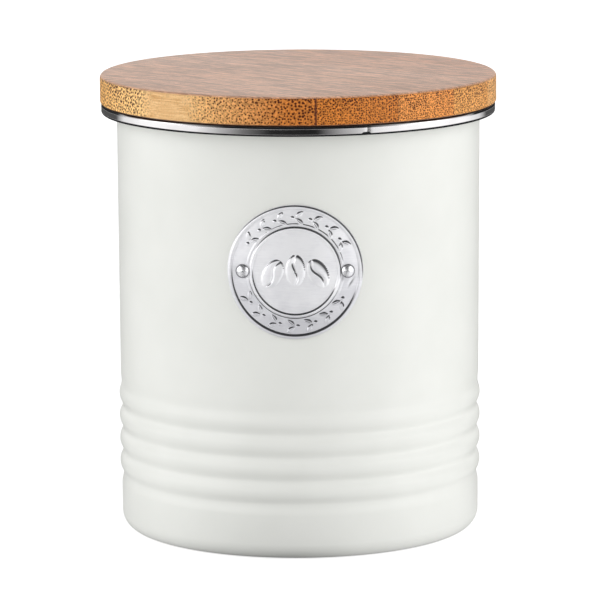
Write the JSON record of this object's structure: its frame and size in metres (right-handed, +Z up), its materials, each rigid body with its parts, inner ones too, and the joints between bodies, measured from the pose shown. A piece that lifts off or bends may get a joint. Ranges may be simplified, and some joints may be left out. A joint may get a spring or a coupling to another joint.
{
  "type": "kitchen storage canister",
  "caption": "Round painted steel kitchen tin with pressed ribs, a riveted metal badge, a steel rim and a push-in bamboo lid.",
  "frame": {"origin": "centre of the face the tin stands on", "axes": "+Z up along the tin's axis, -Y towards the badge, +X to the right of someone facing the badge"},
  "size_m": [0.12, 0.12, 0.1392],
  "materials": {
    "body_paint": "satin",
    "rim_steel": "polished stainless",
    "badge_metal": "embossed, lightly brushed",
    "rivet_metal": "polished",
    "lid_bamboo": "satin lacquer",
    "plug_bamboo": "satin lacquer",
    "seal_silicone": "matt silicone"
  },
  "bodies": {
    "tin": {"body_wall": "body_paint", "base_pan": "body_paint", "rim_band": "rim_steel", "badge_plate": "badge_metal", "badge_rivet_left": "rivet_metal", "badge_rivet_right": "rivet_metal"},
    "lid": {"lid_stave_1": "lid_bamboo", "lid_stave_2": "lid_bamboo", "lid_stave_3": "lid_bamboo", "lid_stave_4": "lid_bamboo", "lid_stave_5": "lid_bamboo", "lid_stave_6": "lid_bamboo", "lid_plug": "plug_bamboo", "lid_seal": "seal_silicone"}
  },
  "joints": [
    {"name": "lid_lift", "type": "slide", "parent": "tin", "child": "lid", "axis": [0, 0, 1], "range_m": [0, 0.12]}
  ]
}
